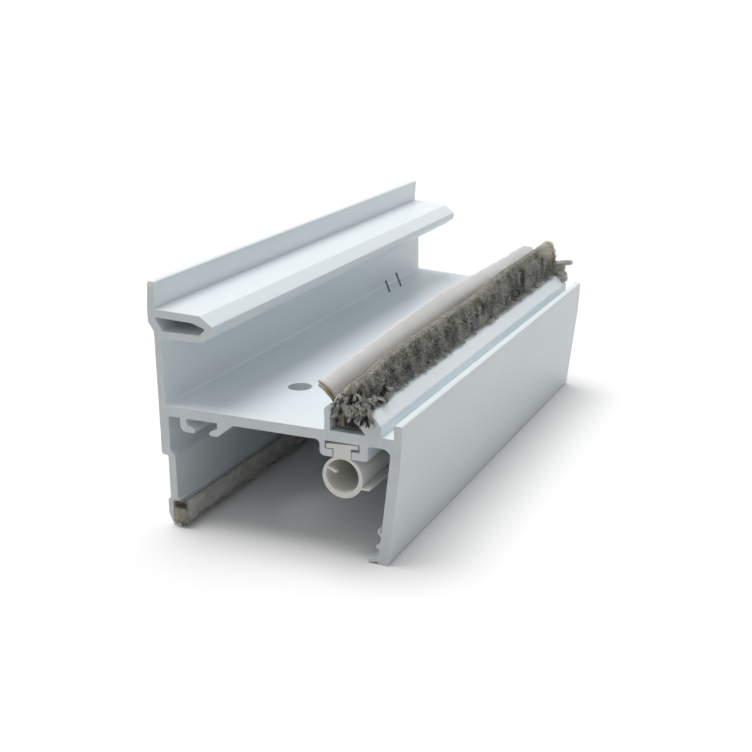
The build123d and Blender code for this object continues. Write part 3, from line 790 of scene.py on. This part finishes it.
def foot_strands(material, count=6500, near=1300):
    """Fibres of the small pile, with dark and beige locks where its near end has come loose, the upper ones darkened
    as painted shade under the slot's top.
    """
    total = count + near
    loose = np.arange(total) >= count
    fan = RANDOM.random(total) * 2 - 1
    along = np.where(loose, RANDOM.random(total) ** 1.3 * 2.2 + 0.1, RANDOM.uniform(0.3, FOOT_FAR - 0.4, total))
    reach = RANDOM.uniform(0.62, 1.0, total)
    root = triples(2.75, along, FOOT_UP + 1.3 * fan)
    tip_across = 3.75 + 2.1 * reach - 0.45 * fan ** 2 + RANDOM.normal(0, 0.12, total)
    tip_across = np.where(loose, 2.4 + 2.9 * RANDOM.random(total), tip_across)
    open_up = 1.35 + 0.9 * reach + 0.35 * smooth(fan, 0.5, 1.0)
    tip_up = np.clip(FOOT_UP + open_up * fan + RANDOM.normal(0, 0.2, total), 0.15, 5.7)
    splay = RANDOM.normal(0, 0.4, total) - np.where(loose, 1.0 + 1.4 * RANDOM.random(total), 0.0)
    tip = triples(tip_across, np.maximum(along + splay, -0.75 + 0.4 * RANDOM.random(total)), tip_up)
    middle = triples(np.where(loose, 3.4, 4.0), along - np.where(loose, 0.7, 0.0), FOOT_UP + 1.5 * fan)
    middle[:, 1] = np.maximum(middle[:, 1], -0.5)
    clump = clumps(along, fan * 3.0 + 20.0, FOOT_TUFT)
    # painted shade: fibres of tufts that stand out are lighter
    tone = np.clip(0.48 + 0.3 * clump + RANDOM.normal(0, 0.12, total), 0, 1)
    # painted shade: locks high in the fan are pushed dark, below the slot's top
    lock = clumps(along * 1.5, fan * 2.6 + 7.0, 0.8) - 0.5 * smooth(fan, 0.35, 0.7)
    loose_tone = np.where(lock > 0.34, 0.6 + 0.4 * RANDOM.random(total), 0.16 * RANDOM.random(total))
    tone = np.where(loose, loose_tone, tone)
    warm = np.where(loose, 0.55, 0.06) * RANDOM.uniform(0.6, 1.0, total)
    radius = RANDOM.uniform(0.06, 0.10, total)
    return strand_mesh("foot_strands", root, middle, tip, radius, tone, warm, material, rings=4)


# Dress the CAD nodes and add the soft pieces

def dress(node, material):
    """Give a CAD node its material."""
    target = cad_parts[node]
    target.data.materials.clear()
    target.data.materials.append(material)


dress("door_profile", rigid_pvc())
dress("bulb_gasket", soft_pvc())
dress("pile_backing", woven("pile_weave", grey(0.16, OLIVE), grey(0.42, OLIVE)))
dress("foot_backing", woven("foot_weave", grey(0.36, BEIGE), grey(0.58, BEIGE)))

dark_fibre = fibre("pile_fibre", PILE_STOPS, 0.45)
# painted shade: near-black roots stand for the shaded recess on the sawn ends of the row
end_fibre = fibre("pile_end_fibre", PILE_STOPS, 0.10)
pale_fibre = fibre("fray_fibre", FRAY_STOPS, 1.0, veil=0.5)
foot_fibre = fibre("foot_fibre", FOOT_STOPS, 0.5, FOOT_BROWN)
half_way = PILE_FAR / 2

# Each soft piece with its slot and the nodes it replaces, in the order of the random draws
pieces = {
    "core": (pile_core(dark_fibre), "pile_fibre", ("pile_fibres",)),
    "near": (pile_strands("pile_near", 0.6, half_way, dark_fibre), "pile_fibre", ()),
    "far": (pile_strands("pile_far", half_way, PILE_FAR - 0.6, dark_fibre), "pile_fibre", ()),
    "ends": (pile_ends(end_fibre), "pile_fibre", ()),
    "fray": (pile_fray(pale_fibre), "pile_fibre", ()),
    "film": (pile_film(film_plastic()), "film", ("pile_film",)),
    "left core": (left_core(dark_fibre), "pile_fibre", ("pile_fibres_left",)),
    "left": (left_strands(dark_fibre), "pile_fibre", ()),
    "foot core": (foot_core(foot_fibre), "foot_fibre", ("foot_fibres",)),
    "foot": (foot_strands(foot_fibre), "foot_fibre", ()),
}
for piece, slot, nodes in pieces.values():
    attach(piece, "root")
    if nodes:
        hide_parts(*nodes)


# Floor, world and light

FLOOR_SEEN, FLOOR_BOUNCE = 0.99, 0.64
FLOOR_HALF, FLOOR_DROP = 6.0, 0.02 * MM
# Sky for the light that reaches surfaces: dim at the horizon and bright overhead
HORIZON, ZENITH = 0.14, 0.56
WHITE = (1.0, 1.0, 1.0, 1.0)


def seen(graph):
    """1 for rays from the camera, and for those mirrored or refracted."""
    path = graph.node("LightPath").outputs
    mirrored = graph.math("MAXIMUM", path["Is Glossy Ray"], path["Is Transmission Ray"])
    return graph.math("MAXIMUM", path["Is Camera Ray"], mirrored)


def floor_material():
    """White floor that keeps the shadow and reads as white to the camera where nothing shades it."""
    g = material_graph("floor")
    colour = g.mix(seen(g), grey(FLOOR_BOUNCE), grey(FLOOR_SEEN))
    return g.finish(g.node("BsdfDiffuse", {"Color": colour}).outputs[0])


def sky():
    """World that lights from above and is white to the camera."""
    g = Graph(bpy.data.worlds.new("studio"), "OutputWorld")
    upward = g.node("SeparateXYZ", {0: g.node("TexCoord").outputs["Generated"]}).outputs["Z"]
    lit = g.node("MapRange", {"Value": upward, "To Min": HORIZON, "To Max": ZENITH}).outputs["Result"]
    strength = g.node("MapRange", {"Value": seen(g), "To Min": lit, "To Max": 1.0}).outputs["Result"]
    return g.finish(g.node("Background", {"Color": WHITE, "Strength": strength}).outputs[0])


def lamp(name, kind, energy, direction):
    """Lamp that shines from a direction, as its data and its object."""
    data = bpy.data.lights.new(name, kind)
    data.energy = energy
    made = linked(name, data)
    made.rotation_mode = "QUATERNION"
    made.rotation_quaternion = direction.to_track_quat("Z", "Y")
    return data, made


floor_mesh = bpy.data.meshes.new("floor")
corners = ((-1, -1), (1, -1), (1, 1), (-1, 1))
floor_mesh.from_pydata([(x * FLOOR_HALF, y * FLOOR_HALF, -FLOOR_DROP) for x, y in corners], [], [(0, 1, 2, 3)])
floor_mesh.materials.append(floor_material())
floor = linked("floor", floor_mesh)

bpy.context.scene.world = sky()

key, _ = lamp("key", "SUN", 2.0, Vector((-0.27, 0.06, 1.0)))
key.angle = math.radians(44)
key.color = (1.0, 0.995, 0.985)

# Soft fill from behind on the right, which the camera doesn't see
FILL_PLACE, FILL_AIM = Vector((0.13, 0.20, 0.11)), Vector((0.02, 0.03, 0.03))
fill, fill_object = lamp("fill", "AREA", 0.045, FILL_PLACE - FILL_AIM)
fill.shape = "RECTANGLE"
fill.size, fill.size_y = 0.12, 0.09
fill_object.location = FILL_PLACE
fill_object.visible_camera = False

# Camera at the photograph's place
AZIMUTH, ELEVATION, ROLL = math.radians(24.468), math.radians(17.874), math.radians(-0.551)
DISTANCE = 214.597
FOCAL_PIXELS, FRAME_PIXELS = 1247.008, 752
SENSOR = 36.0
CAMERA_AIM = (45.198, 0.0, 35.813)
level = math.cos(ELEVATION)
back = Vector((math.sin(AZIMUTH) * level, -math.cos(AZIMUTH) * level, math.sin(ELEVATION)))
right = Vector((math.cos(AZIMUTH), math.sin(AZIMUTH), 0.0))
tilted_right = math.cos(ROLL) * right + math.sin(ROLL) * back.cross(right)
tilted_up = back.cross(tilted_right)
camera = bpy.data.cameras.new("camera")
camera.sensor_width = SENSOR
camera.lens = SENSOR * FOCAL_PIXELS / FRAME_PIXELS
camera.clip_start = 0.01
camera.clip_end = 100.0
camera_object = linked("camera", camera)
turn = Matrix((tilted_right, tilted_up, back)).transposed()
place = Vector(placed(CAMERA_AIM)) + back * DISTANCE * MM
camera_object.matrix_world = Matrix.Translation(place) @ turn.to_4x4()
bpy.context.scene.camera = camera_object
bpy.context.scene.view_settings.view_transform = "Standard"
